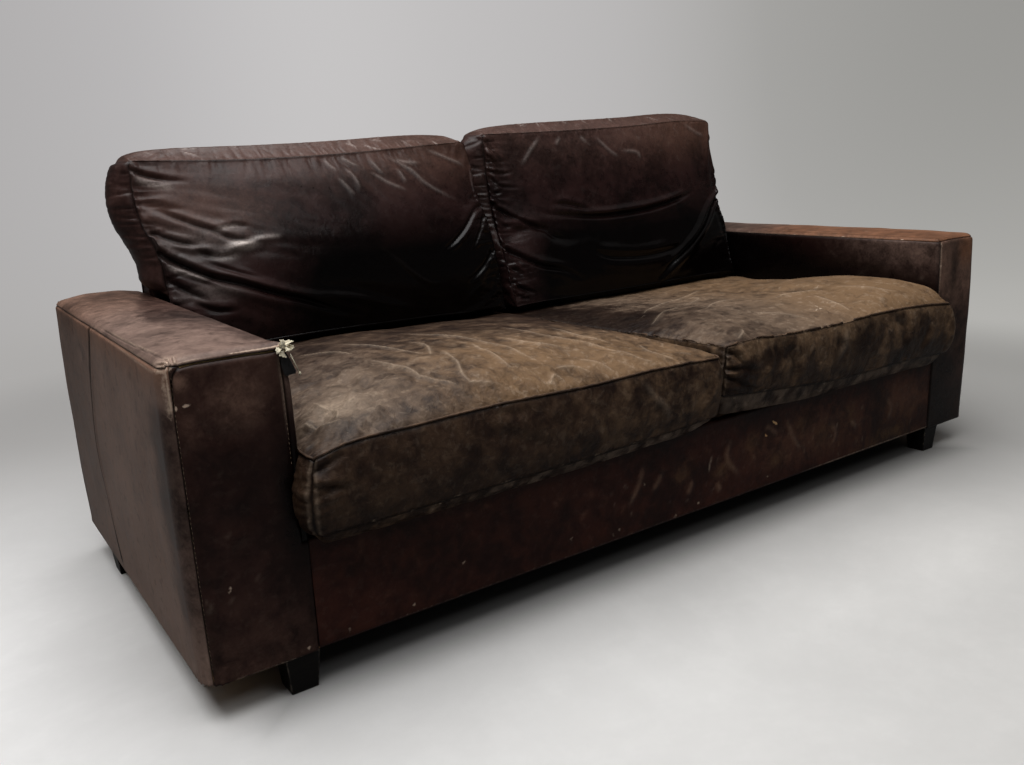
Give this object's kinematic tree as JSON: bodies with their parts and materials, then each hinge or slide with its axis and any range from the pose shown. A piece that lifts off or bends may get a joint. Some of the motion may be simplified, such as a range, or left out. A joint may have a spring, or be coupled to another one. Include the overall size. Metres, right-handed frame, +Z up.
{
  "type": "worn leather sofa",
  "caption": "Low box-arm sofa in worn dark brown leather, with loose seat cushions over a plain front rail, loose leaning back cushions and short square tapered legs.",
  "frame": {"origin": "on the floor, at the centre of the whole sofa's footprint, overhanging seat cushions included", "axes": "+X along the sofa's length, to the right of someone who faces it; -Y its front; +Z up. Left and right in the names are those of someone who faces it."},
  "size_m": [2.2, 0.96, 0.965],
  "materials": {
    "oxblood_leather": "aged dark oxblood leather on the arms, rail and fixed back, satin, scuffed, worn tan and orange along its edges",
    "seat_leather": "seat cushions' leather, rubbed matte to olive brown and tan on top, black-brown and blotched at the front",
    "back_cushion_leather": "back cushions' leather, glossy black oxblood with creases, lighter brown along the top",
    "timber": "sawn beech and plywood",
    "fibreboard": "hardboard",
    "foam": "aged cream foam and fleece",
    "webbing": "woven elastic webbing",
    "lining_cloth": "black lining cloth",
    "black_wood": "black stained wood, satin, rubbed pale at the edges",
    "zinc_steel": "zinc plated steel"
  },
  "bodies": {
    "root": {"arm_left_base_board": "timber", "arm_left_front_post": "timber", "arm_left_inner_board": "fibreboard", "arm_left_leather_front": "oxblood_leather", "arm_left_leather_inner": "oxblood_leather", "arm_left_leather_outer": "oxblood_leather", "arm_left_leather_rear": "oxblood_leather", "arm_left_leather_top": "oxblood_leather", "arm_left_outer_board": "fibreboard", "arm_left_rear_post": "timber", "arm_left_top_pad": "foam", "arm_left_top_rail": "timber", "arm_right_base_board": "timber", "arm_right_front_post": "timber", "arm_right_inner_board": "fibreboard", "arm_right_leather_front": "oxblood_leather", "arm_right_leather_inner": "oxblood_leather", "arm_right_leather_outer": "oxblood_leather", "arm_right_leather_rear": "oxblood_leather", "arm_right_leather_top": "oxblood_leather", "arm_right_outer_board": "fibreboard", "arm_right_rear_post": "timber", "arm_right_top_pad": "foam", "arm_right_top_rail": "timber", "back_cushion_left": "back_cushion_leather", "back_cushion_right": "back_cushion_leather", "back_leather_inner": "oxblood_leather", "back_leather_outer": "oxblood_leather", "back_pad": "foam", "back_post_centre": "timber", "back_post_left": "timber", "back_post_right": "timber", "back_top_rail": "timber", "corner_block_front_left": "timber", "corner_block_front_right": "timber", "corner_block_rear_left": "timber", "corner_block_rear_right": "timber", "deck_cloth": "lining_cloth", "dust_cover": "lining_cloth", "front_rail_leather": "oxblood_leather", "leg_bolt_front_left": "zinc_steel", "leg_bolt_front_right": "zinc_steel", "leg_bolt_rear_left": "zinc_steel", "leg_bolt_rear_right": "zinc_steel", "leg_front_left": "black_wood", "leg_front_right": "black_wood", "leg_rear_left": "black_wood", "leg_rear_right": "black_wood", "seat_back_rail": "timber", "seat_centre_rail": "timber", "seat_cushion_left": "seat_leather", "seat_cushion_right": "seat_leather", "seat_front_rail": "timber", "webbing_strap_left_1": "webbing", "webbing_strap_left_2": "webbing", "webbing_strap_left_3": "webbing", "webbing_strap_right_1": "webbing", "webbing_strap_right_2": "webbing", "webbing_strap_right_3": "webbing"}
  },
  "joints": []
}
